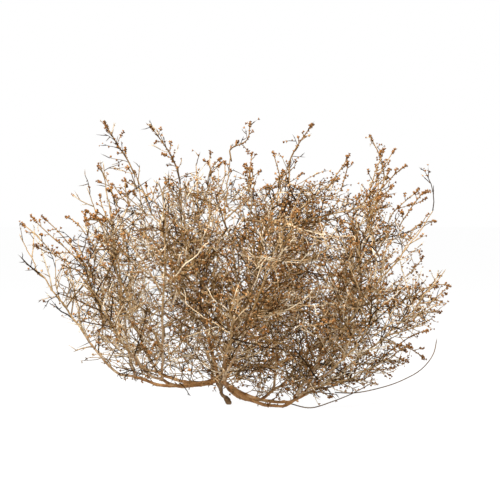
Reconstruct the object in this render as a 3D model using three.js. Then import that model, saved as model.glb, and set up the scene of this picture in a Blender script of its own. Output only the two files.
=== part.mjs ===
// A tumbleweed: a dry, broken-off annual shrub that rests on its root stub and its arching lowest stems.
//
// The taproot ends in a crown from which the stems leave. Each outer stem dips towards the surface, those on
// the heavier +X side to touch it, and forks into a low limb and a high limb. Each inner stem climbs and
// forks into three limbs. A limb carries a spray, the tapering mass of its fine twigs, which is one plain
// closed solid here. Single seed wands stand out above the sprays.
//
// Every piece is a turned profile bent along its own curve. Units are millimetres, +Z is up, +X is the
// plant's widest side, and the origin is on the flat spot under the broken root.
import * as THREE from "three";

// ---- Driving dimensions ----
const JOINT_GAP = 0.4; // left between a piece and the one that it grows from

const ROOT = {
  footRadius: 3.2, // the broken end, worn flat, which stands on the surface
  knobRadius: 4.7,
  neckRadius: 2.4,
};
const CROWN = { centre: new THREE.Vector3(-11, 0, 33), radius: 8.5 };

const OUTER_STEM = {
  baseRadius: 2.6,
  forkRadius: 2.0,
  slopeOut: -0.5, // height lost for each millimetre outwards in the crown, less a fifth of the clearance
  wornFlat: 0.6, // how much of the belly is worn away where it lies on the surface
  forkReach: 122,
  forkHeight: 15,
  sway: 5, // sideways wander of the middle of the stem
};
const LOW_LIMB = { baseRadius: 1.9, tipRadius: 1.35, share: 0.36 };
const HIGH_LIMB = { baseRadius: 1.8, tipRadius: 1.25, share: 0.34, rise: 60 };
const INNER_STEM = { baseRadius: 2.5, forkRadius: 2.0, forkReach: 20, forkHeight: 112 };
const INNER_LIMB = { baseRadius: 1.7, tipRadius: 1.2, share: 0.32, rise: 52 };
const LOW_SPRAY = { depth: 33, breadth: 60 };
const HIGH_SPRAY = { depth: 35, breadth: 53 };
const TOP_SPRAY = { depth: 28, breadth: 37 };
const WAND_RADIUS = { base: 1.5, tip: 2.2 };

// The outer stems: the azimuth of each in degrees from +X, the reach and clearance of its lowest stretch,
// how full its sprays are, then azimuth, reach and height of the tips of its low and its high spray.
const OUTER_STEMS = [
  { azimuth: 6, belly: [96, 0], full: 1.05, low: [6, 318, 188], high: [28, 262, 306] },
  { azimuth: 51, belly: [76, 0], full: 1.03, low: [51, 286, 160], high: [66, 232, 312] },
  { azimuth: 96, belly: [76, 30], full: 0.99, low: [96, 280, 168], high: [118, 228, 306] },
  { azimuth: 140, belly: [76, 26], full: 0.93, low: [140, 270, 176], high: [158, 206, 304] },
  { azimuth: 184, belly: [76, 25], full: 0.92, low: [183, 279, 238], high: [211, 184, 336] },
  { azimuth: 229, belly: [76, 27], full: 0.94, low: [229, 268, 180], high: [251, 222, 304] },
  { azimuth: 273, belly: [76, 30], full: 0.98, low: [273, 272, 166], high: [299, 234, 310] },
  { azimuth: 329, belly: [104, 0], full: 1.05, low: [318, 292, 150], high: [341, 306, 272] },
];
// The inner stems, each with the azimuth, reach and height of its three sprays' tips. The first limb runs
// on from the stem and the others leave its sides.
const INNER_STEMS = [
  { azimuth: 20, full: 1.03, tips: [[350, 14, 346], [-35, 116, 336], [37, 122, 332]] },
  { azimuth: 196, full: 0.96, tips: [[181, 124, 330], [109, 112, 338], [240, 110, 316]] },
];
// The seed wands: the spray that each grows from, then its bend and its tip.
const WANDS = [
  { from: "spray_top_1_1", bend: [26, -8, 368], tip: [30, -12, 391] },
  { from: "spray_top_1_2", bend: [97, -70, 362], tip: [114, -74, 386] },
  { from: "spray_high_1", bend: [216, 112, 348], tip: [202, 104, 376] },
  { from: "spray_top_2_1", bend: [-154, -6, 362], tip: [-171, -10, 391] },
  { from: "spray_top_2_3", bend: [-80, -102, 350], tip: [-104, -104, 384] },
];

// ---- Materials ----
const wood = (color, roughness) => new THREE.MeshStandardMaterial({ color, roughness, metalness: 0 });
const rootBark = wood(0x6b5030, 0.9);
const stemWood = wood(0xa07a4e, 0.75);
const limbWood = wood(0xb8946a, 0.75);
const sprayTwigs = wood(0x9c7d58, 0.85);
const seedHusk = wood(0xa86c32, 0.85);

// ---- Shapes ----

// A closed solid along a curve, with radii [along the side direction, across it] given at each share of
// its length. What would pass below the surface is flattened against it.
function bentSolid(curve, side, radiiAt, steps, sides) {
  const length = curve.getLength();
  const profile = [new THREE.Vector2(0, 0)];
  for (let i = 0; i <= steps; i++) profile.push(new THREE.Vector2(1, (i / steps) * length));
  profile.push(new THREE.Vector2(0, length));
  const geometry = new THREE.LatheGeometry(profile, sides, Math.PI / sides);
  const position = geometry.attributes.position;
  const vertex = new THREE.Vector3();
  for (let i = 0; i < position.count; i++) {
    vertex.fromBufferAttribute(position, i);
    const share = Math.min(1, Math.max(0, vertex.y / length));
    const tangent = curve.getTangentAt(share);
    const across = side.clone().addScaledVector(tangent, -side.dot(tangent)).normalize();
    const up = across.clone().cross(tangent);
    const [radiusAcross, radiusUp] = radiiAt(share);
    const place = curve
      .getPointAt(share)
      .addScaledVector(across, vertex.x * radiusAcross)
      .addScaledVector(up, vertex.z * radiusUp);
    position.setXYZ(i, place.x, place.y, Math.max(0, place.z));
  }
  return geometry;
}

const tapered = (base, tip) => (share) => {
  const radius = THREE.MathUtils.lerp(base, tip, share);
  return [radius, radius];
};

// A spindle: narrow where it leaves its limb, fullest past the middle, and blunt at the twigs' tips.
const spindle = (depth, breadth) => (share) => {
  const fullness = Math.sin(Math.PI * Math.min(0.97, Math.max(0.03, share ** 0.85))) ** 0.75;
  return [breadth * fullness, depth * fullness];
};

const sideOf = (azimuth) => new THREE.Vector3(-Math.sin(azimuth), Math.cos(azimuth), 0);

// A point at an azimuth and a distance from the crown's axis, shifted sideways by sway.
function at(azimuth, reach, height, sway = 0) {
  return new THREE.Vector3(Math.cos(azimuth), Math.sin(azimuth), 0)
    .multiplyScalar(reach)
    .addScaledVector(sideOf(azimuth), sway)
    .add(new THREE.Vector3(CROWN.centre.x, CROWN.centre.y, height));
}

// A tip given as azimuth in degrees, reach and height.
const tipAt = ([degrees, reach, height]) => at(THREE.MathUtils.degToRad(degrees), reach, height);

const tumbleweed = new THREE.Group();
const sprayTips = new Map();

function add(name, geometry, material) {
  const mesh = new THREE.Mesh(geometry, material);
  mesh.name = name;
  tumbleweed.add(mesh);
}

// ---- The root: broken end, knob, neck and crown in one piece ----
function addRoot() {
  const { footRadius, knobRadius, neckRadius } = ROOT;
  const { centre, radius } = CROWN;
  const curve = new THREE.CatmullRomCurve3([
    new THREE.Vector3(0, 0, 0),
    new THREE.Vector3(0, 0, 4),
    new THREE.Vector3(-3.8, 0, 9),
    new THREE.Vector3(-9, 0, 13.5),
    new THREE.Vector3(-11, 0, 21),
    centre,
    new THREE.Vector3(centre.x + 0.5, 0.5, centre.z + radius),
  ]);
  const outline = new THREE.CatmullRomCurve3(
    [
      [footRadius, 0],
      [knobRadius, 0.1],
      [knobRadius * 0.9, 0.2],
      [neckRadius * 1.1, 0.32],
      [neckRadius, 0.42],
      [neckRadius * 1.15, 0.54],
      [radius * 0.65, 0.68],
      [radius, 0.8],
      [radius * 0.8, 0.93],
      [radius * 0.4, 1],
    ].map(([r, share]) => new THREE.Vector3(r, share, 0)),
  );
  const radiusAt = (share) => {
    let low = 0;
    let high = 1;
    for (let i = 0; i < 20; i++) {
      const middle = (low + high) / 2;
      if (outline.getPoint(middle).y < share) low = middle;
      else high = middle;
    }
    return outline.getPoint(low).x;
  };
  const radii = (share) => [radiusAt(share), radiusAt(share)];
  add("root_stub", bentSolid(curve, new THREE.Vector3(0, 1, 0), radii, 18, 12), rootBark);
}

// ---- A limb that runs on from the end of a stem ----
function onwardLimb(stemCurve) {
  const end = stemCurve.getPointAt(1);
  const tangent = stemCurve.getTangentAt(1);
  return {
    start: end.clone().addScaledVector(tangent, JOINT_GAP),
    leave: end.clone().addScaledVector(tangent, 26),
  };
}

// ---- A limb that leaves the side of a stem, rising at an angle towards its tip ----
function sideLimb(stemCurve, share, stemRadius, limb, tip) {
  const axisPoint = stemCurve.getPointAt(share);
  const rise = THREE.MathUtils.degToRad(limb.rise);
  const direction = tip.clone().sub(axisPoint).setZ(0).normalize();
  direction.multiplyScalar(Math.cos(rise)).setZ(Math.sin(rise));
  const angle = stemCurve.getTangentAt(share).angleTo(direction);
  const clear = (stemRadius + JOINT_GAP + limb.baseRadius * Math.cos(angle)) / Math.sin(angle);
  return {
    start: axisPoint.clone().addScaledVector(direction, clear),
    leave: axisPoint.clone().addScaledVector(direction, clear + 28),
  };
}

// ---- A limb and the spray that it carries, from where the limb starts to the tips of its twigs ----
function addLimbAndSpray(suffix, { start, leave }, tip, limb, spray, full, sag) {
  const side = sideOf(Math.atan2(tip.y - CROWN.centre.y, tip.x - CROWN.centre.x));
  const middle = start.clone().lerp(tip, 0.55).add(sag);
  const whole = new THREE.CatmullRomCurve3([start, leave, middle, tip]);
  const along = (from, to) =>
    Array.from({ length: 6 }, (_, i) => whole.getPointAt(from + ((to - from) * i) / 5));
  const gap = JOINT_GAP / whole.getLength();
  const limbCurve = new THREE.CatmullRomCurve3(along(0, limb.share));
  const sprayCurve = new THREE.CatmullRomCurve3(along(limb.share + gap, 1));
  const limbRadii = tapered(limb.baseRadius, limb.tipRadius);
  const sprayRadii = spindle(spray.depth * full, spray.breadth * full);
  add(`limb_${suffix}`, bentSolid(limbCurve, side, limbRadii, 5, 6), limbWood);
  add(`spray_${suffix}`, bentSolid(sprayCurve, side, sprayRadii, 8, 10), sprayTwigs);
  sprayTips.set(`spray_${suffix}`, { tip, onward: whole.getTangentAt(1) });
}

// ---- An outer stem: out of the crown, down to its lowest stretch, and up to its fork ----
function addOuterStem(number, { azimuth: degrees, belly: [bellyReach, clearance], full, low, high }) {
  const azimuth = THREE.MathUtils.degToRad(degrees);
  const stem = OUTER_STEM;
  const lean = number % 2 ? 1 : -1;
  const out = CROWN.radius + JOINT_GAP;
  const bellyHeight = (stem.baseRadius + stem.forkRadius) / 2 - stem.wornFlat + clearance;
  const startHeight = CROWN.centre.z + out * stem.slopeOut + clearance * 0.2;
  const droopHeight = THREE.MathUtils.lerp(bellyHeight, startHeight, 0.36);
  const curve = new THREE.CatmullRomCurve3([
    at(azimuth, out, startHeight),
    at(azimuth, bellyReach * 0.4, droopHeight, lean * stem.sway * 0.6),
    at(azimuth, bellyReach, bellyHeight, lean * stem.sway),
    at(azimuth, stem.forkReach, stem.forkHeight + clearance),
  ]);
  const radii = tapered(stem.baseRadius, stem.forkRadius);
  add(`stem_${number}`, bentSolid(curve, sideOf(azimuth), radii, 9, 8), stemWood);

  const sag = new THREE.Vector3(8 * Math.cos(azimuth), 8 * Math.sin(azimuth), -9);
  addLimbAndSpray(`low_${number}`, onwardLimb(curve), tipAt(low), LOW_LIMB, LOW_SPRAY, full, sag);
  const highLimb = sideLimb(curve, 0.97, stem.forkRadius, HIGH_LIMB, tipAt(high));
  const noSag = new THREE.Vector3();
  addLimbAndSpray(`high_${number}`, highLimb, tipAt(high), HIGH_LIMB, HIGH_SPRAY, full, noSag);
}

// ---- An inner stem: up from the crown, with one limb that runs on and two that leave its sides ----
function addInnerStem(number, { azimuth: degrees, full, tips }) {
  const azimuth = THREE.MathUtils.degToRad(degrees);
  const { baseRadius, forkRadius, forkReach, forkHeight } = INNER_STEM;
  const apart = 5.5; // the stems leave the top of the crown side by side
  const top = CROWN.centre.z + CROWN.radius + 1.2;
  const curve = new THREE.CatmullRomCurve3([
    at(azimuth, apart, top),
    at(azimuth, forkReach * 0.55, forkHeight * 0.6),
    at(azimuth, forkReach, forkHeight),
  ]);
  const radii = tapered(baseRadius, forkRadius);
  add(`stem_inner_${number}`, bentSolid(curve, sideOf(azimuth), radii, 6, 8), stemWood);
  tips.forEach((place, i) => {
    const tip = tipAt(place);
    const limb = i === 0
      ? onwardLimb(curve)
      : sideLimb(curve, 1 - 0.08 * i, forkRadius, INNER_LIMB, tip);
    const noSag = new THREE.Vector3();
    addLimbAndSpray(`top_${number}_${i + 1}`, limb, tip, INNER_LIMB, TOP_SPRAY, full, noSag);
  });
}

// ---- A seed wand: one long twig that stands out of a spray's tip ----
function addWand(number, { from, bend, tip }) {
  const spray = sprayTips.get(from);
  const curve = new THREE.CatmullRomCurve3([
    spray.tip.clone().addScaledVector(spray.onward, JOINT_GAP),
    spray.tip.clone().addScaledVector(spray.onward, 9),
    new THREE.Vector3(...bend),
    new THREE.Vector3(...tip),
  ]);
  const radii = tapered(WAND_RADIUS.base, WAND_RADIUS.tip);
  add(`wand_${number}`, bentSolid(curve, new THREE.Vector3(0, 1, 0), radii, 8, 6), seedHusk);
}

addRoot();
OUTER_STEMS.forEach((stem, i) => addOuterStem(i + 1, stem));
INNER_STEMS.forEach((stem, i) => addInnerStem(i + 1, stem));
WANDS.forEach((wand, i) => addWand(i + 1, wand));

export default tumbleweed;
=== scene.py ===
"""A dry tumbleweed: a broken root stub, arching stems and limbs, and thousands of fine, seed-laden twigs.

The CAD pieces give every stem, limb, spray and wand its place. Each is read back as a line through its
rings, and its finished piece grows along that line. Lengths are in metres and angles in radians.
"""
import math

import bpy
import numpy as np
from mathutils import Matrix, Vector


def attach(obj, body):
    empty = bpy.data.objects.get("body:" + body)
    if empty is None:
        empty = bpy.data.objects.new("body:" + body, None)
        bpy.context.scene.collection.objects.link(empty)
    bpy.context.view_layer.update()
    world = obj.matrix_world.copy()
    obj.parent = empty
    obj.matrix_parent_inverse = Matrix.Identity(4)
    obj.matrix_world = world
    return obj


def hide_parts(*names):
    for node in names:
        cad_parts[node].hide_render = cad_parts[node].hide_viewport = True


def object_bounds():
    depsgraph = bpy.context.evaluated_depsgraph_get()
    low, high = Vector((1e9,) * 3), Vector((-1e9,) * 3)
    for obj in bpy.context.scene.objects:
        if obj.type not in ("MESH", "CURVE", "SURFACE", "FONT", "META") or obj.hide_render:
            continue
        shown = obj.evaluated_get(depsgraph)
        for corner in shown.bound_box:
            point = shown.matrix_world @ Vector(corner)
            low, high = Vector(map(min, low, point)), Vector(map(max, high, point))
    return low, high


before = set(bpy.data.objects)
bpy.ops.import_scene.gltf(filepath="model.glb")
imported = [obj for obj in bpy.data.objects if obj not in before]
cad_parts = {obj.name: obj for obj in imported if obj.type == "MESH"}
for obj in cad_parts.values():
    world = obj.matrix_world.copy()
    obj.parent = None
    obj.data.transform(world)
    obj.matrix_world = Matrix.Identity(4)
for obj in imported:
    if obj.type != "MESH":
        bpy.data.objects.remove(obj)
cad_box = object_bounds()
LOW, HIGH = (np.array(corner) for corner in cad_box)

# ---- The plant's shape ----
UP = np.array([0.0, 0.0, 1.0])
EAST = np.array([1.0, 0.0, 0.0])
GOLDEN_ANGLE = math.radians(137.5)  # from one side twig to the next round a stem
CROWN = np.array([-0.011, 0.0, 0.033])
HEART = np.array([0.027, 0.004, 0.165])  # middle of the bowl at its widest level
HALF_WIDTH = 0.276
HALF_DEPTH = 0.268
RISE = 0.163  # from the widest level up to where the mass of twigs ends
SHOULDERS = (0.085, 0.28), (0.07, 0.18)  # -X, +X: height above the heart, and share of width lost there
SHOULDER_SLOPE = 0.025
STRAY = np.array([-0.004, 0.008, 0.004])  # how far twigs may reach past the CAD box
LEAN = 0.08  # how far the bowl's bottom shifts towards +X, for each metre down

TUFTS = (  # where the crown is fuller or thinner: x, half its width, and sprigs more or fewer at each end
    (0.045, 0.024, 1.5),
    (-0.058, 0.022, -0.9),
    (0.1, 0.02, -0.6),
    (0.175, 0.025, 1.2),
    (-0.14, 0.03, 0.8),
)

BRANCHLET_SPACING = 0.0415  # between the places that branchlets grow to
BRANCHLET = {"thick": 0.00115, "thin": 0.0007}  # radius at its base and tip
SIDE_TWIG = {"spacing": 0.0102, "longest": 0.05, "thick": 0.00105, "thin": 0.00065}
FINE_TWIG = {"spacing": 0.0102, "longest": 0.034, "shortest": 0.010, "thick": 0.0007, "thin": 0.0005}
SPRIG = {"spacing": 0.013, "thin": 0.0007, "side_thick": 0.0007, "side_thin": 0.00055}
LIMB_TIP = {"thick": 0.0015, "thin": 0.0006}  # a limb's run on through its spray
LEAFY_WANDS = {4: (0.0075, 0.036), 5: (0.0075, 0.026)}  # spacing and reach of their side twigs
BARE_WAND = (0.014, 0.022)  # the same for the other wands
BRACT_SPACING = 0.012
FRUIT_SPACING = 0.0046

# For each limb: the share of fruits that it still holds, and the tone of its twigs, 0 dark to 1 bleached.
LIMBS = {
    "low_1": (0.50, 0.51), "low_2": (0.40, 0.50), "low_3": (0.30, 0.53), "low_4": (0.20, 0.53),
    "low_5": (0.20, 0.52), "low_6": (0.26, 0.46), "low_7": (0.42, 0.46), "low_8": (0.50, 0.51),
    "high_1": (0.55, 0.51), "high_2": (0.50, 0.50), "high_3": (0.32, 0.54), "high_4": (0.20, 0.56),
    "high_5": (0.20, 0.55), "high_6": (0.36, 0.47), "high_7": (0.55, 0.44), "high_8": (0.60, 0.50),
    "top_1_1": (0.60, 0.46), "top_1_2": (0.62, 0.45), "top_1_3": (0.58, 0.45),
    "top_2_1": (0.28, 0.54), "top_2_2": (0.40, 0.50), "top_2_3": (0.42, 0.50),
}


# ---- Reading the CAD pieces ----

def rings_from(start, neighbours):
    """The vertices at each number of edges from a start."""
    seen = {start}
    rings = [[start]]
    while rings[-1]:
        following = {n for vertex in rings[-1] for n in neighbours[vertex]} - seen
        seen |= following
        rings.append(sorted(following))
    return rings[:-1]


def line_of(node):
    """The line through the rings of a CAD rod, from its crown end outwards, and each ring's radius."""
    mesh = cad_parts[node].data
    corners = np.array([vertex.co for vertex in mesh.vertices])
    places, index = np.unique(corners.round(6), axis=0, return_inverse=True)
    neighbours = [set() for _ in places]
    for polygon in mesh.polygons:
        around = {int(index.ravel()[vertex]) for vertex in polygon.vertices}
        for vertex in around:
            neighbours[vertex] |= around - {vertex}
    ends = []
    for start in range(len(places)):
        rings = rings_from(start, neighbours)
        sizes = {len(ring) for ring in rings[1:-1]}
        if len(rings[-1]) == 1 and len(sizes) == 1:
            ends.append(rings)
    rings = min(ends, key=lambda found: np.linalg.norm(places[found[0][0]] - CROWN))
    line = np.array([places[ring].mean(0) for ring in rings[1:-1]])
    radii = np.array([
        np.linalg.norm(places[ring] - centre, axis=1).mean() for ring, centre in zip(rings[1:-1], line)
    ])
    return line, radii


def unit(vectors):
    return vectors / np.maximum(np.linalg.norm(vectors, axis=-1, keepdims=True), 1e-12)


def resampled(line, count, *values):
    """A smooth line of count points through the given ones, with values that go along with them."""
    steps = np.linalg.norm(np.diff(line, axis=0), axis=1)
    along = np.concatenate([[0], np.cumsum(steps)]) / steps.sum()
    shares = np.linspace(0, 1, count)
    slopes = np.gradient(line, along, axis=0)
    span = np.clip(np.searchsorted(along, shares, side="right") - 1, 0, len(line) - 2)
    width = (along[span + 1] - along[span])[:, None]
    t = (shares - along[span])[:, None] / width
    smooth = (
        (2 * t**3 - 3 * t**2 + 1) * line[span]
        + (t**3 - 2 * t**2 + t) * width * slopes[span]
        + (3 * t**2 - 2 * t**3) * line[span + 1]
        + (t**3 - t**2) * width * slopes[span + 1]
    )
    return (smooth, *(np.interp(shares, along, value) for value in values))


# ---- Growing lines ----

def across(directions):
    """Two directions across each direction, at right angles to each other."""
    helper = np.where(np.abs(directions[..., 2:3]) < 0.8, UP, EAST)
    first = unit(np.cross(directions, helper))
    return first, np.cross(directions, first)


def fullness(places):
    """How far out a place is: 0 in the heart of the plant and 1 on its outline."""
    offset = places - HEART
    rise = offset[..., 2]
    shift = LEAN * np.minimum(rise, 0)
    level = np.hypot((offset[..., 0] + shift) / HALF_WIDTH, offset[..., 1] / HALF_DEPTH)
    start, loss = (np.where(offset[..., 0] < 0, west, east) for west, east in zip(*SHOULDERS))
    level = level / (1 - loss * np.clip((rise - start) / SHOULDER_SLOPE, 0, 1))
    drop = np.clip(0.148 + 0.11 * places[..., 0], 0.135, 0.163)  # its underside is higher on the -X side
    top = RISE - 0.006 * np.clip((places[..., 0] - 0.05) / 0.04, 0, 1)  # and its top lower on the +X side
    height = np.abs(rise) / np.where(rise < 0, drop, top)
    below = np.clip(2.2 - 1.6 * offset[..., 0], 2.0, 2.5)
    corner = np.where(rise < 0, below, 4.5)  # round below, flat on top
    return (level**corner + height**corner) ** (1 / corner)


def grow(rng, starts, headings, lengths, steps, wander, pull):
    """Lines that start at places with headings, wander as they go, and turn outwards and up by pull."""
    lines = np.empty((len(starts), steps + 1, 3))
    lines[:, 0] = starts
    heading = headings
    drift = rng.normal(size=headings.shape)
    for step in range(steps):
        outward = unit((lines[:, step] - HEART) * (1, 1, 0.6))
        goal = unit(outward + 0.55 * UP)
        kink = rng.normal(size=headings.shape)
        heading = unit(heading + wander * (0.5 * drift + kink) + pull * goal)
        lines[:, step + 1] = lines[:, step] + heading * (lengths / steps)[:, None]
    return lines


def kept_inside(lines, limits, leeway):
    """The lines, each shortened to end inside its limit of fullness and above the floor, less any stumps.

    One that starts outside its limit may still reach out by the leeway.
    """
    steps = lines.shape[1] - 1
    how_full = fullness(lines)
    limits = np.maximum(limits, how_full[:, 0] + leeway)
    outside = (how_full > limits[:, None]) | (lines[..., 2] < 0.0012)
    outside |= ((lines < LOW - STRAY) | (lines > HIGH + STRAY)).any(2)
    first_out = np.where(outside.any(1), outside.argmax(1), steps + 1)
    share = np.minimum(first_out - 1, steps) / steps
    kept = share > 0.25
    start = lines[kept, :1]
    return start + (lines[kept] - start) * share[kept, None, None], kept


def sites_on(rng, lines, spacing, first_share):
    """Places at a spacing along each line: the line's number, then the place, direction, share and turn."""
    lengths = np.linalg.norm(np.diff(lines, axis=1), axis=2).sum(1)
    counts = np.maximum((lengths * (1 - first_share) / spacing).astype(int), 1)
    owner = np.repeat(np.arange(len(lines)), counts)
    order = np.arange(len(owner)) - np.repeat(np.cumsum(counts) - counts, counts)
    spread = (order + 0.5 + rng.uniform(-0.35, 0.35, len(owner))) / counts[owner]
    share = first_share + (1 - first_share) * spread
    at = share * (lines.shape[1] - 1)
    span = np.minimum(at.astype(int), lines.shape[1] - 2)
    part = (at - span)[:, None]
    place = lines[owner, span] * (1 - part) + lines[owner, span + 1] * part
    direction = unit(lines[owner, span + 1] - lines[owner, span])
    turn = order * GOLDEN_ANGLE + rng.uniform(0, 2 * math.pi, len(lines))[owner]
    turn = turn + rng.normal(0, 0.5, len(owner))
    return owner, place, direction, share, turn


def leaving(directions, turns, angles):
    """The headings of side twigs that leave directions at angles, turned round them."""
    first, second = across(directions)
    sideways = np.cos(turns)[:, None] * first + np.sin(turns)[:, None] * second
    return unit(np.cos(angles)[:, None] * directions + np.sin(angles)[:, None] * sideways)


# ---- Making many small things at once ----

def tubes(lines, thick, thin, sides, tones):
    """A closed tapering tube along each line: vertices, triangles, and each vertex's mark on the tone map.

    Radii and tones are one for all the lines, or one for each.
    """
    count, rings = lines.shape[:2]
    thick, thin, tones = (np.broadcast_to(value, count) for value in (thick, thin, tones))
    shares = np.linspace(0, 1, rings)
    radii = thick[:, None] * (1 - shares) + thin[:, None] * shares
    directions = unit(np.gradient(lines, axis=1))
    helper = across(unit(lines[:, -1] - lines[:, 0]))[0][:, None]
    first = unit(np.cross(directions, helper))
    second = np.cross(directions, first)
    turns = 2 * math.pi * np.arange(sides) / sides
    ring = first[:, :, None] * np.cos(turns)[:, None] + second[:, :, None] * np.sin(turns)[:, None]
    body = lines[:, :, None] + ring * radii[:, :, None, None]
    vertices = np.concatenate([body[:, :-1].reshape(count, (rings - 1) * sides, 3), lines[:, -1:]], 1)

    pattern = [(0, j + 1, j) for j in range(1, sides - 1)]
    for k in range(rings - 2):
        for j in range(sides):
            a, b = k * sides + j, k * sides + (j + 1) % sides
            pattern += [(a, b, b + sides), (a, b + sides, a + sides)]
    last = (rings - 2) * sides
    pattern += [(last + j, last + (j + 1) % sides, last + sides) for j in range(sides)]
    triangles = np.array(pattern)[None] + (np.arange(count) * vertices.shape[1])[:, None, None]

    along = np.append(np.repeat(shares[:-1], sides), 1)
    round_it = np.append(np.tile(np.arange(sides) / sides - 0.5, rings - 1), 0)
    marks = np.empty((count, vertices.shape[1], 2))
    marks[..., 0] = 0.02 + 0.96 * along
    marks[..., 1] = tones[:, None] + 0.012 * round_it
    return vertices.reshape(-1, 3), triangles.reshape(-1, 3), marks.reshape(-1, 2)


def copies(shape, places, headings, turns, sizes, tones):
    """A copy of a small shape at each place, its +Z along the heading: as tubes returns them."""
    points, faces, own_marks = shape
    first, second = across(headings)
    x = np.cos(turns)[:, None] * first + np.sin(turns)[:, None] * second
    y = np.cross(headings, x)
    axes = np.stack([x, y, headings], 1) * sizes[:, None, None]
    vertices = places[:, None] + np.einsum("vk,nkj->nvj", points, axes)
    triangles = faces[None] + (np.arange(len(places)) * len(points))[:, None, None]
    marks = own_marks[None] * (0.9, 0.03) + np.stack([np.full(len(tones), 0.05), tones], 1)[:, None]
    return vertices.reshape(-1, 3), triangles.reshape(-1, 3), marks.reshape(-1, 2)


def joined(parts):
    """Several such sets of vertices, triangles and marks as one."""
    starts = np.cumsum([0] + [len(part[0]) for part in parts[:-1]])
    vertices = np.concatenate([part[0] for part in parts])
    triangles = np.concatenate([part[1] + start for part, start in zip(parts, starts)])
    marks = np.concatenate([part[2] for part in parts])
    return vertices, triangles, marks


def finished(piece, slot, material, *nodes):
    """The piece wears its finish, rides on the plant and stands for its CAD nodes, if it has any."""
    piece.data.materials.clear()
    piece.data.materials.append(material)
    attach(piece, "root")
    if nodes:
        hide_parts(*nodes)


def piece_of(name, parts, slot, material, *nodes):
    """One joined mesh piece, with its tones on a map of its own."""
    vertices, triangles, marks = joined(parts)
    vertices[:, 2] = np.maximum(vertices[:, 2], 0)
    mesh = bpy.data.meshes.new(name)
    mesh.from_pydata(vertices, [], triangles)
    tone_map = mesh.uv_layers.new(name="OFBake")
    tone_map.uv.foreach_set("vector", marks.clip(0.002, 0.998)[triangles.ravel()].ravel())
    mesh.polygons.foreach_set("use_smooth", np.ones(len(triangles), bool))
    mesh.update()
    piece = bpy.data.objects.new(name, mesh)
    bpy.context.scene.collection.objects.link(piece)
    finished(piece, slot, material, *nodes)


# ---- Materials ----

def new_material(name):
    material = bpy.data.materials.new(name)
    material.use_nodes = True
    nodes = material.node_tree.nodes
    return material, nodes, material.node_tree.links, nodes["Principled BSDF"]


def ramp_of(nodes, stops):
    """A colour ramp with (share, colour) stops."""
    ramp = nodes.new("ShaderNodeValToRGB")
    elements = ramp.color_ramp.elements
    while len(elements) < len(stops):
        elements.new(0.5)
    for element, (share, colour) in zip(elements, stops):
        element.position = share
        element.color = (*colour, 1)
    return ramp


def toned_material(name, stops, mottling, roughness):
    """A finish for thousands of small pieces: coloured by their tone, and mottled along their length."""
    material, nodes, links, shader = new_material(name)
    tone_map = nodes.new("ShaderNodeUVMap")
    tone_map.uv_map = "OFBake"
    stretch = nodes.new("ShaderNodeMapping")
    stretch.inputs["Scale"].default_value = (5, 90, 1)
    mottle = nodes.new("ShaderNodeTexNoise")
    mottle.inputs["Scale"].default_value = 1.0
    mottle.inputs["Detail"].default_value = 3.0
    split = nodes.new("ShaderNodeSeparateXYZ")
    shifted = nodes.new("ShaderNodeMath")
    shifted.operation = "MULTIPLY_ADD"
    shifted.inputs[1].default_value = mottling
    centred = nodes.new("ShaderNodeMath")
    centred.operation = "SUBTRACT"
    centred.inputs[1].default_value = 0.5
    ramp = ramp_of(nodes, stops)
    links.new(tone_map.outputs["UV"], stretch.inputs["Vector"])
    links.new(stretch.outputs["Vector"], mottle.inputs["Vector"])
    links.new(tone_map.outputs["UV"], split.inputs["Vector"])
    links.new(mottle.outputs["Fac"], centred.inputs[0])
    links.new(centred.outputs[0], shifted.inputs[0])
    links.new(split.outputs["Y"], shifted.inputs[2])
    links.new(shifted.outputs[0], ramp.inputs["Fac"])
    links.new(ramp.outputs["Color"], shader.inputs["Base Color"])
    shader.inputs["Roughness"].default_value = roughness
    shader.inputs["Specular IOR Level"].default_value = 0.06
    return material


def wood_material(name, stops, grain, depth, roughness):
    """Weathered wood: mottled by place, with fine grain in its bumps."""
    material, nodes, links, shader = new_material(name)
    place = nodes.new("ShaderNodeTexCoord")
    mottle = nodes.new("ShaderNodeTexNoise")
    mottle.inputs["Scale"].default_value = 60
    mottle.inputs["Detail"].default_value = 5
    mottle.inputs["Roughness"].default_value = 0.65
    ramp = ramp_of(nodes, stops)
    fine = nodes.new("ShaderNodeTexNoise")
    fine.inputs["Scale"].default_value = grain
    fine.inputs["Detail"].default_value = 4
    bump = nodes.new("ShaderNodeBump")
    bump.inputs["Strength"].default_value = 0.8
    bump.inputs["Distance"].default_value = depth
    links.new(place.outputs["Object"], mottle.inputs["Vector"])
    links.new(place.outputs["Object"], fine.inputs["Vector"])
    links.new(mottle.outputs["Fac"], ramp.inputs["Fac"])
    links.new(ramp.outputs["Color"], shader.inputs["Base Color"])
    links.new(fine.outputs["Fac"], bump.inputs["Height"])
    links.new(bump.outputs["Normal"], shader.inputs["Normal"])
    shader.inputs["Roughness"].default_value = roughness
    shader.inputs["Specular IOR Level"].default_value = 0.12
    return material


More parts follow.
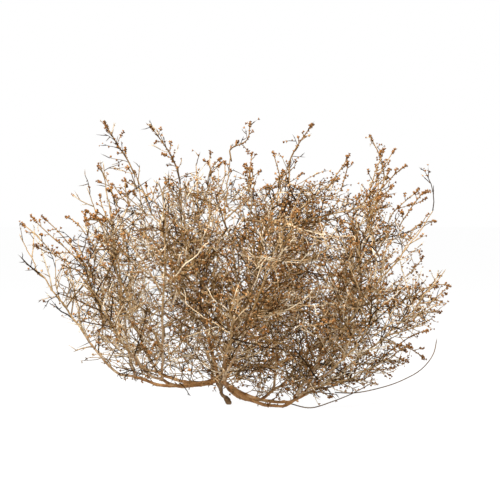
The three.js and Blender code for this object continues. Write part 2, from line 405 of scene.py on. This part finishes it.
ROOT_BARK = wood_material(
    "weathered root bark",
    [(0.3, (0.065, 0.034, 0.014)), (0.5, (0.15, 0.085, 0.04)), (0.68, (0.27, 0.18, 0.10))],
    700, 0.0006, 0.85,
)
STEM_WOOD = wood_material(
    "sun-browned stem",
    [
        (0.3, (0.11, 0.046, 0.014)),
        (0.48, (0.25, 0.12, 0.042)),
        (0.6, (0.36, 0.195, 0.08)),
        (0.74, (0.50, 0.34, 0.19)),
    ],
    900, 0.0003, 0.7,
)
LIMB_WOOD = wood_material(
    "bleached limb",
    [
        (0.3, (0.17, 0.09, 0.038)),
        (0.46, (0.32, 0.195, 0.10)),
        (0.58, (0.45, 0.32, 0.195)),
        (0.72, (0.62, 0.51, 0.37)),
    ],
    900, 0.0003, 0.7,
)
TWIG_STRAW = toned_material(
    "dry straw twig",
    [
        (0.0, (0.026, 0.012, 0.003)),
        (0.25, (0.066, 0.032, 0.0095)),
        (0.5, (0.245, 0.145, 0.057)),
        (0.75, (0.46, 0.315, 0.168)),
        (1.0, (0.72, 0.585, 0.405)),
    ],
    0.5, 0.75,
)
SEED_HUSK = toned_material(
    "papery seed husk",
    [
        (0.0, (0.075, 0.028, 0.008)),
        (0.3, (0.165, 0.072, 0.022)),
        (0.55, (0.275, 0.124, 0.038)),
        (0.8, (0.37, 0.19, 0.072)),
        (1.0, (0.48, 0.31, 0.16)),
    ],
    0.5, 0.8,
)


# ---- The small shapes that repeat ----

def fresh(add, **settings):
    """A new primitive from one of Blender's add operators, with nothing else selected."""
    bpy.ops.object.select_all(action="DESELECT")
    add(**settings)
    return bpy.context.object


def as_shape(piece):
    """A modelled piece as points, triangles and marks, and the piece itself removed."""
    bpy.ops.object.mode_set(mode="EDIT")
    bpy.ops.mesh.select_all(action="SELECT")
    bpy.ops.mesh.quads_convert_to_tris()
    bpy.ops.mesh.normals_make_consistent(inside=False)
    bpy.ops.object.mode_set(mode="OBJECT")
    points = np.array([piece.matrix_world @ vertex.co for vertex in piece.data.vertices])
    faces = np.array([polygon.vertices[:] for polygon in piece.data.polygons])
    span = np.ptp(points[:, 2])
    turn = np.arctan2(points[:, 1], points[:, 0]) / (2 * math.pi)
    marks = np.stack([(points[:, 2] - points[:, 2].min()) / span, turn], 1)
    bpy.data.objects.remove(piece, do_unlink=True)
    return points, faces, marks


def bract_pair():
    """Two stiff, pointed bracts that stand in a V at a joint of a twig."""
    piece = fresh(
        bpy.ops.mesh.primitive_cone_add, vertices=3, radius1=0.00055, depth=0.0038,
        end_fill_type="NGON", location=(0, 0, 0.0017),
    )
    bpy.ops.object.mode_set(mode="EDIT")
    bpy.ops.mesh.select_all(action="SELECT")
    bpy.ops.transform.rotate(value=math.radians(38), orient_axis="Y", center_override=(0, 0, 0))
    bpy.ops.mesh.duplicate()
    bpy.ops.transform.rotate(value=math.radians(-84), orient_axis="Y", center_override=(0, 0, 0))
    bpy.ops.transform.resize(value=(0.8, 0.8, 0.8), center_override=(0, 0, 0))
    bpy.ops.object.mode_set(mode="OBJECT")
    return as_shape(piece)


def winged_fruit():
    """A small plump fruit that sits along a twig, with a papery rim pulled out to points."""
    piece = fresh(
        bpy.ops.mesh.primitive_cone_add, vertices=6, radius1=0.0014, depth=0.0021,
        end_fill_type="TRIFAN", rotation=(math.pi, 0, 0), location=(0, 0, 0.00085),
    )
    bpy.ops.object.transform_apply(location=True, rotation=True)
    hub = max(piece.data.vertices, key=lambda vertex: vertex.co.z - math.hypot(*vertex.co.xy))
    rim = [vertex for vertex in piece.data.vertices if math.hypot(*vertex.co.xy) > 0.001]
    points = {vertex.index for vertex in rim[::2]}
    for chosen, size, rise in (({hub.index}, 1, 0.0014), (points, 1.4, 0.0005)):
        for vertex in piece.data.vertices:
            vertex.select = vertex.index in chosen
        bpy.ops.object.mode_set(mode="EDIT")
        bpy.ops.mesh.select_mode(type="VERT")
        bpy.ops.transform.resize(value=(size, size, 1), center_override=(0, 0, 0))
        bpy.ops.transform.translate(value=(0, 0, rise))
        bpy.ops.mesh.select_all(action="DESELECT")
        bpy.ops.object.mode_set(mode="OBJECT")
    return as_shape(piece)


BRACTS = bract_pair()
FRUIT = winged_fruit()


# ---- Root, stems and limbs ----

def weathered(piece, strength, grain):
    """Gives a piece an uneven, weathered surface."""
    clouds = bpy.data.textures.new(f"{piece.name} surface", "CLOUDS")
    clouds.noise_scale = grain
    clouds.noise_depth = 2
    roughen = piece.modifiers.new("weathering", "DISPLACE")
    roughen.texture = clouds
    roughen.texture_coords = "LOCAL"
    roughen.mid_level = 0.5
    roughen.strength = strength
    bpy.ops.object.select_all(action="DESELECT")
    bpy.context.view_layer.objects.active = piece
    piece.select_set(True)
    bpy.ops.object.modifier_apply(modifier=roughen.name)
    return piece


def rod(name, line, radii):
    """A round rod along a line, with a radius at each of its points."""
    piece = fresh(bpy.ops.curve.primitive_nurbs_path_add, radius=1, location=(0, 0, 0))
    piece.name = piece.data.name = name
    piece.data.splines.clear()
    spline = piece.data.splines.new("POLY")
    spline.points.add(len(line) - 1)
    spline.points.foreach_set("co", np.column_stack([line, np.ones(len(line))]).ravel())
    spline.points.foreach_set("radius", radii)
    piece.data.bevel_depth = 1.0
    piece.data.bevel_resolution = 3
    piece.data.use_fill_caps = True
    bpy.ops.object.convert(target="MESH")
    piece = bpy.context.object
    for polygon in piece.data.polygons:
        polygon.use_smooth = True
    return piece


def knotted(rng, line, radii, every, bend):
    """A line with a slight bend and a swelling at each joint, as the wood grows."""
    length = np.linalg.norm(np.diff(line, axis=0), axis=1).sum()
    joints = max(int(length / every), 1)
    shares = np.linspace(0, 1, len(line))
    at = shares * joints
    near = np.abs(at - np.round(at)) * length / joints
    first, second = across(unit(np.gradient(line, axis=0)))
    sway = rng.normal(0, bend, (joints + 2, 2))
    sway[0] = 0
    ease = np.clip(np.minimum(shares, 1 - shares) * 8, 0, 1)[:, None]
    offset = np.stack([np.interp(at, np.arange(joints + 2), sway[:, i]) for i in (0, 1)], 1) * ease
    swelling = 1 + 0.22 * np.exp(-((near / 0.0022) ** 2))
    return line + offset[:, :1] * first + offset[:, 1:] * second, radii * swelling


def stem_piece(node, slot, material, reach_back):
    """The stem or limb for a CAD node, its base run back into what it grows from. Returns its line."""
    rng = np.random.default_rng(sum(map(ord, node)))
    line, radii = line_of(node)
    back = line[0] - unit(line[1] - line[0]) * reach_back
    line = np.concatenate([[back], line])
    radii = np.concatenate([[radii[0] * 1.25], radii])
    length = np.linalg.norm(np.diff(line, axis=0), axis=1).sum()
    line, radii = resampled(line, max(int(length / 0.0022), 12), radii)
    line, radii = knotted(rng, line, radii, 0.017, 0.0007)
    line[:, 2] = np.maximum(line[:, 2], radii + 0.0002)
    piece = weathered(rod(f"{node}_wood", line, radii), 0.0007, 0.004)
    for vertex in piece.data.vertices:
        vertex.co.z = max(vertex.co.z, 0)
    finished(piece, slot, material, node)
    return line


def root_piece():
    """The broken taproot: a worn knob on a thin neck that widens to the crown."""
    line, radii = line_of("root_stub")
    line, radii = resampled(line, 34, radii)
    piece = rod("root_stub_bark", line, radii)
    smooth = piece.modifiers.new("rounding", "SUBSURF")
    smooth.levels = smooth.render_levels = 1
    bpy.ops.object.modifier_apply(modifier=smooth.name)
    weathered(piece, 0.0022, 0.005)
    weathered(piece, 0.0009, 0.0016)
    for vertex in piece.data.vertices:
        vertex.co.z = max(vertex.co.z, 0)
    finished(piece, "root_bark", ROOT_BARK, "root_stub")


root_piece()
stems = {}
for number in range(1, 9):
    stems[f"stem_{number}"] = stem_piece(f"stem_{number}", "stem_wood", STEM_WOOD, 0.006)
for number in (1, 2):
    stems[f"stem_inner_{number}"] = stem_piece(f"stem_inner_{number}", "stem_wood", STEM_WOOD, 0.008)


# ---- Where the branchlets grow ----

def axis_of(suffix, line):
    """A limb's line, and on through its spray to the spray's tip."""
    rng = np.random.default_rng(sum(map(ord, suffix)) * 7)
    onward, _ = line_of(f"spray_{suffix}")
    onward, = resampled(np.concatenate([line[-1:], onward[1:]]), 48)
    drift = np.cumsum(rng.normal(0, 0.0009, onward.shape), axis=0)
    onward = onward + drift * np.sin(math.pi * np.linspace(0, 1, 48))[:, None]
    return np.concatenate([line, onward[1:]]), onward


def spread_places(rng, spacing):
    """Places spread evenly through the whole plant, for branchlets to grow to."""
    steps = [np.arange(low, high, spacing) for low, high in zip(LOW - 0.02, HIGH + 0.02)]
    places = np.stack(np.meshgrid(*steps, indexing="ij"), -1).reshape(-1, 3)
    places = places + rng.uniform(-0.45, 0.45, places.shape) * spacing
    places[:, 2] = HIGH[2] * np.maximum(places[:, 2] / HIGH[2], 0) ** 1.4  # closer together low down
    how_full = fullness(places)
    x, z = places[:, 0], places[:, 2]
    sideways = np.hypot(*(places - HEART)[:, :2].T) / HALF_WIDTH
    chance = 1.3 - 0.7 * sideways  # sparser outside
    chance -= (2 + 2.5 * (z < 0.17)) * np.maximum(-x - 0.12, 0)  # and sparser still on the -X side
    chance -= 0.55 * (x > 0.17) * (z > 0.16) * (z < 0.24)  # gaps halfway up the +X side
    chance += 0.7 * (x > 0.1) * (z > 0.235)  # a full +X shoulder
    chance += 0.6 * (sideways < 0.4) * (z < 0.09)  # close twigs over the root
    chance -= 0.4 * (np.abs(x - 0.03) < 0.08) * (z > 0.255)  # an open middle to the crown
    kept = rng.random(len(places)) < chance
    return places[kept & (how_full > 0.2) & (how_full < 0.96) & (places[:, 2] > 0.015)]


def branchlets_from(rng, axes):
    """For each axis, the branchlets that grow from it, each to a place that it reaches best."""
    points = np.concatenate(list(axes.values()))
    tangents = np.concatenate([unit(np.gradient(axis, axis=0)) for axis in axes.values()])
    owner = np.repeat(np.arange(len(axes)), [len(axis) for axis in axes.values()])
    places = spread_places(rng, BRANCHLET_SPACING)
    gap = places[:, None] - points[None]
    distance = np.linalg.norm(gap, axis=2)
    forward = (gap * tangents).sum(2) / np.maximum(distance, 1e-6)
    best = (distance * (1.6 - forward)).argmin(1)
    span = distance[np.arange(len(places)), best]
    reachable = (span > 0.012) & (span < 0.2)
    places, best, span = places[reachable], best[reachable], span[reachable]

    starts = points[best]
    outward = unit((places - HEART) * (1, 1, 0))
    bend = (starts + places) / 2 + (0.15 * span)[:, None] * (outward - 0.8 * UP)
    t = np.linspace(0, 1, 10)[:, None]
    lines = (1 - t) ** 2 * starts[:, None] + 2 * t * (1 - t) * bend[:, None] + t**2 * places[:, None]
    drift = np.cumsum(rng.normal(0, 0.017, lines.shape) * span[:, None, None], axis=1)
    lines = lines + drift - drift[:, :1]
    lines[..., 2] = np.maximum(lines[..., 2], 0.004)
    return {name: lines[owner[best] == number] for number, name in enumerate(axes)}


# ---- Twigs ----

def husked(rng, lines, line_tones, seeds, start):
    """The bracts and the fruits on twigs, the fruits thickest towards the twigs' tips."""
    owner, place, direction, _, turn = sites_on(rng, lines, BRACT_SPACING, start)
    chosen = rng.random(len(place)) < 0.5
    owner, place, direction, turn = owner[chosen], place[chosen], direction[chosen], turn[chosen]
    size = rng.uniform(0.6, 1.2, len(place))
    tones = (line_tones[owner] + rng.normal(-0.08, 0.15, len(place))).clip(0.02, 0.98)
    bracts = copies(BRACTS, place, direction, turn, size, tones)

    owner, place, direction, share, turn = sites_on(rng, lines, FRUIT_SPACING, start)
    laden = rng.random(len(lines)) < 0.3 + seeds
    chosen = (rng.random(len(place)) < seeds * (0.35 + 1.3 * share**2)) & laden[owner]
    place, direction, turn = place[chosen], direction[chosen], turn[chosen]
    heading = leaving(direction, turn, rng.normal(0.55, 0.15, len(place)))
    size = rng.uniform(0.6, 1.25, len(place))
    tones = rng.normal(0.48, 0.24, len(place)).clip(0.02, 0.98)
    return bracts, copies(FRUIT, place, heading, turn, size, tones)


def clothed(rng, stalks, seeds, tone, spacing, longest, first_share=0.1):
    """Side twigs along stalks, fine twigs along those, and the bracts and fruits on them."""
    owner, place, direction, share, turn = sites_on(rng, stalks, spacing, first_share)
    angle = np.radians(rng.normal(56, 13, len(place)) - 14 * share)
    bulge = 0.45 + 0.55 * np.sin(math.pi * (0.15 + 0.75 * share))  # they are longest halfway along
    length = longest * bulge * rng.uniform(0.5, 1.25, len(place))
    side = grow(rng, place, leaving(direction, turn, angle), length, 5, 0.11, 0.05)
    tuft = rng.normal(0.95, 0.08, len(stalks)).clip(0.8, 1.16)
    side, kept = kept_inside(side, tuft[owner] + rng.normal(0, 0.03, len(side)), 0.13)
    tones = rng.normal(tone, 0.32, len(side)).clip(0.02, 0.98)
    thickness = np.clip(length[kept] / 0.07, 0.6, 1.25)
    twigs = [tubes(side, SIDE_TWIG["thick"] * thickness, SIDE_TWIG["thin"] * thickness, 3, tones)]

    owner, place, direction, share, turn = sites_on(rng, side, FINE_TWIG["spacing"], 0.15)
    angle = np.radians(rng.normal(52, 13, len(place)))
    length = FINE_TWIG["longest"] * (1 - share) + FINE_TWIG["shortest"] * share
    length = length * rng.uniform(0.4, 1.3, len(place))
    fine = grow(rng, place, leaving(direction, turn, angle), length, 2, 0.14, 0.08)
    fine, kept = kept_inside(fine, rng.normal(0.97, 0.06, len(fine)).clip(0.82, 1.12), 0.06)
    fine_tones = (tones[owner[kept]] + rng.normal(-0.05, 0.18, len(fine))).clip(0.02, 0.98)
    twigs.append(tubes(fine, FINE_TWIG["thick"], FINE_TWIG["thin"], 3, fine_tones))

    husks = []
    for lines, line_tones, start in ((side, tones, 0.3), (fine, fine_tones, 0.15)):
        bracts, fruits = husked(rng, lines, line_tones, seeds, start)
        twigs.append(bracts)
        husks.append(fruits)
    return twigs, husks


def branched(rng, branchlets, seeds, tone):
    """Branchlets, paler than the twigs that clothe them, with those twigs."""
    tones = rng.normal(tone + 0.12, 0.24, len(branchlets)).clip(0.05, 0.97)
    length = np.linalg.norm(np.diff(branchlets, axis=1), axis=2).sum(1)
    thickness = np.clip(length / 0.11, 0.55, 1.3)
    stalks = tubes(branchlets, BRANCHLET["thick"] * thickness, BRANCHLET["thin"] * thickness, 5, tones)
    twigs, husks = clothed(rng, branchlets, seeds, tone, SIDE_TWIG["spacing"], SIDE_TWIG["longest"])
    return [stalks, *twigs], husks


def sprigs(rng, lines, thick, seeds=0.75):
    """Long single twigs with small fruits, a few short side twigs, and a dense cluster at each tip."""
    parts = [tubes(lines, thick, SPRIG["thin"], 5, rng.normal(0.5, 0.12, len(lines)))]
    _, place, direction, share, turn = sites_on(rng, lines, SPRIG["spacing"], 0.1)
    length = rng.uniform(0.006, 0.026, len(place)) * (1.25 - share)
    heading = leaving(direction, turn, rng.normal(0.9, 0.15, len(place)))
    side = grow(rng, place, heading, length, 4, 0.1, 0.05)
    parts.append(tubes(side, SPRIG["side_thick"], SPRIG["side_thin"], 3, 0.48))
    husks = []
    for group, tip_start, tip_spacing in ((lines, 0.87, 0.0009), (side, 0.55, 0.0012)):
        scattered = (0.1, 0.0036, 0.7, seeds)
        clustered = (tip_start, tip_spacing, 0.85, 1)
        for start, spacing, smallest, share_kept in (scattered, clustered):
            _, place, direction, _, turn = sites_on(rng, group, spacing, start)
            chosen = rng.random(len(place)) < share_kept
            place, direction, turn = place[chosen], direction[chosen], turn[chosen]
            heading = leaving(direction, turn, rng.normal(0.4, 0.15, len(place)))
            size = rng.uniform(smallest, smallest + 0.35, len(place))
            tones = rng.normal(0.42, 0.18, len(place)).clip(0.02, 0.98)
            husks.append(copies(FRUIT, place, heading, turn, size, tones))
        _, place, direction, _, turn = sites_on(rng, group, 0.005, 0.05)
        size = rng.uniform(0.5, 0.9, len(place))
        tones = rng.normal(0.4, 0.12, len(place)).clip(0, 1)
        parts.append(copies(BRACTS, place, direction, turn, size, tones))
    return parts, husks


def limb_twigs(suffix, seeds, tone, axis, onward, branchlets):
    """Everything that a limb carries: its axis on through the spray, the branchlets, twigs and fruits."""
    rng = np.random.default_rng(sum(map(ord, suffix)) * 13)
    tip = tubes(onward[None], LIMB_TIP["thick"], LIMB_TIP["thin"], 7, tone + 0.12)
    twigs, husks = clothed(rng, axis[None, 10:], seeds, tone, 0.014, 0.085, 0.02)
    more_twigs, more_husks = branched(rng, branchlets, seeds, tone)
    ends = branchlets[fullness(branchlets[:, -1]) > 0.8]
    x, z = ends[:, -1, 0], ends[:, -1, 2]
    outer = np.clip(12 * np.abs(x - 0.03) - 1.7, 0, 1)  # 1 at the plant's two sides
    rays = np.where(x < 0, 0.3 + 0.7 * (z > 0.17), 0.7 + 0.1 * (z < 0.2))
    number = rng.random(len(ends)) + np.where(z > 0.26, 0.75, 0.3 + rays * outer)
    for at, width, more in TUFTS:
        number = number + more * np.exp(-(((x - at) / width) ** 2)) * (z > 0.2)
    chosen, outer = (np.repeat(values, number.astype(int), axis=0) for values in (ends, outer))
    heading = unit(unit(chosen[:, -1] - HEART) + 0.9 * UP + rng.normal(0, 0.35, (len(chosen), 3)))
    length = rng.uniform(0.025, 0.06, len(chosen)) * (1 + 0.8 * outer)
    lines = grow(rng, chosen[:, -1], heading, length, 9, 0.08, 0.0)
    lines, _ = kept_inside(lines, np.full(len(lines), 1.3), 0.2)
    sprig_twigs, sprig_husks = sprigs(rng, lines, 0.0008, seeds)
    twigs = [tip, *twigs, *more_twigs, *sprig_twigs]
    piece_of(f"twigs_{suffix}", twigs, "twig_straw", TWIG_STRAW, f"spray_{suffix}")
    piece_of(f"husks_{suffix}", [*husks, *more_husks, *sprig_husks], "seed_husk", SEED_HUSK)


def snags(rng, line, spacing):
    """Short broken stubs of lost twigs along a stem."""
    _, place, direction, _, turn = sites_on(rng, line[None], spacing, 0.1)
    length = rng.uniform(0.004, 0.011, len(place))
    heading = leaving(direction, turn, rng.normal(0.9, 0.2, len(place)))
    stubs = grow(rng, place, heading, length, 2, 0.1, 0.0)
    return tubes(stubs, 0.0009, 0.0006, 5, 0.35)


def trailing_twigs():
    """Three long bare twigs that hang under the plant: two sweep out to +X and one hangs by the root."""
    near_the_floor = (
        (0.083, -0.055, 0.006), (0.113, -0.072, 0.0012), (0.141, -0.08, 0.010),
        (0.170, -0.083, 0.022), (0.196, -0.08, 0.036),
    )
    curling_up = (
        (0.146, -0.055, 0.021), (0.168, -0.062, 0.0205), (0.202, -0.072, 0.027), (0.238, -0.082, 0.040),
        (0.264, -0.086, 0.056), (0.279, -0.086, 0.076), (0.284, -0.084, 0.098),
    )
    by_the_root = ((-0.056, -0.035, 0.046), (-0.053, -0.04, 0.034), (-0.054, -0.042, 0.023))
    twigs = []
    for sweep, thick in ((near_the_floor, 0.0008), (curling_up, 0.0007), (by_the_root, 0.0006)):
        line, = resampled(np.array(sweep), 26)
        twigs.append(tubes(line[None], thick, 0.0006, 6, 0.3))
    return twigs


def heart_twigs(branchlets):
    """The branchlets that leave the stems themselves, the snags near the root, and the trailing twigs."""
    twigs, husks = trailing_twigs(), []
    for number, (name, line) in enumerate(stems.items()):
        rng = np.random.default_rng(900 + number)
        more_twigs, more_husks = branched(rng, branchlets[name], 0.3, 0.5)
        twigs += [*more_twigs, snags(rng, line, 0.013)]
        husks += more_husks
    piece_of("heart_twigs", twigs, "twig_straw", TWIG_STRAW)
    piece_of("heart_husks", husks, "seed_husk", SEED_HUSK)


def wand_piece(number):
    """A long seed-laden twig that stands out above a spray."""
    rng = np.random.default_rng(60 + number)
    line, _ = line_of(f"wand_{number}")
    line, = resampled(line, 30)
    line[0] -= (line[1] - line[0]) * 4
    parts, husks = sprigs(rng, line[None], 0.0011)
    spacing, reach = LEAFY_WANDS.get(number, BARE_WAND)
    twigs, more_husks = clothed(rng, line[None], 0.3, 0.45, spacing, reach, 0.05)
    parts += twigs
    husks += more_husks
    piece_of(f"wand_{number}_twig", parts, "twig_straw", TWIG_STRAW, f"wand_{number}")
    piece_of(f"wand_{number}_husks", husks, "seed_husk", SEED_HUSK)


limbs = {}
for suffix in LIMBS:
    reach_back = 0.006 if suffix.startswith(("high", "top")) else 0.002
    line = stem_piece(f"limb_{suffix}", "limb_wood", LIMB_WOOD, reach_back)
    limbs[suffix] = axis_of(suffix, line)
axes = {**stems, **{suffix: axis for suffix, (axis, _) in limbs.items()}}
branchlets = branchlets_from(np.random.default_rng(3), axes)
for suffix, (seeds, tone) in LIMBS.items():
    limb_twigs(suffix, seeds, tone, *limbs[suffix], branchlets[suffix])
heart_twigs(branchlets)
for number in range(1, 6):
    wand_piece(number)


# ---- Floor, light and camera ----

CAMERA_TILT = math.radians(1)
CAMERA_DISTANCE = 3.48


def plain_material(name, colour, glow):
    material, _, _, shader = new_material(name)
    shader.inputs["Base Color"].default_value = (*colour, 1)
    shader.inputs["Roughness"].default_value = 1.0
    shader.inputs["Specular IOR Level"].default_value = 0.0
    shader.inputs["Emission Color"].default_value = (1, 1, 1, 1)
    shader.inputs["Emission Strength"].default_value = glow
    return material


def set_stage():
    floor = fresh(bpy.ops.mesh.primitive_plane_add, size=60, location=(0, 0, -0.0002))
    floor.name = "floor"
    floor.data.materials.append(plain_material("white floor", (0.1, 0.1, 0.1), 0.96))

    world = bpy.data.worlds.new("white studio")
    bpy.context.scene.world = world
    world.use_nodes = True
    nodes, links = world.node_tree.nodes, world.node_tree.links
    direction = nodes.new("ShaderNodeTexCoord")
    height = nodes.new("ShaderNodeSeparateXYZ")
    walls_to_ceiling = ramp_of(nodes, [(0.13, (1, 1, 1)), (0.26, (0.24, 0.24, 0.24))])
    links.new(direction.outputs["Generated"], height.inputs["Vector"])
    links.new(height.outputs["Z"], walls_to_ceiling.inputs["Fac"])
    links.new(walls_to_ceiling.outputs["Color"], nodes["Background"].inputs["Color"])

    for name, place, size, power in (
        ("key light", (-0.7, -1.75, 2.4), 0.6, 208),
        ("fill light", (1.8, -1.2, 1.4), 1.5, 10),
    ):
        light = fresh(bpy.ops.object.light_add, type="AREA", location=place)
        light.name = name
        light.data.size = size
        light.data.energy = power
        light.rotation_euler = (Vector(HEART) - Vector(place)).to_track_quat("-Z", "Y").to_euler()


def set_camera():
    middle = (LOW + HIGH) / 2
    target = Vector((middle[0] + 0.022, middle[1], middle[2] + 0.019))
    back = Vector((0, -math.cos(CAMERA_TILT), math.sin(CAMERA_TILT)))
    camera = fresh(bpy.ops.object.camera_add, location=target + back * CAMERA_DISTANCE)
    camera.rotation_euler = (-back).to_track_quat("-Z", "Y").to_euler()
    camera.data.lens = 180
    camera.data.sensor_width = 36
    camera.data.clip_end = 100
    bpy.context.scene.camera = camera


set_stage()
set_camera()
bpy.context.scene.view_settings.view_transform = "Standard"
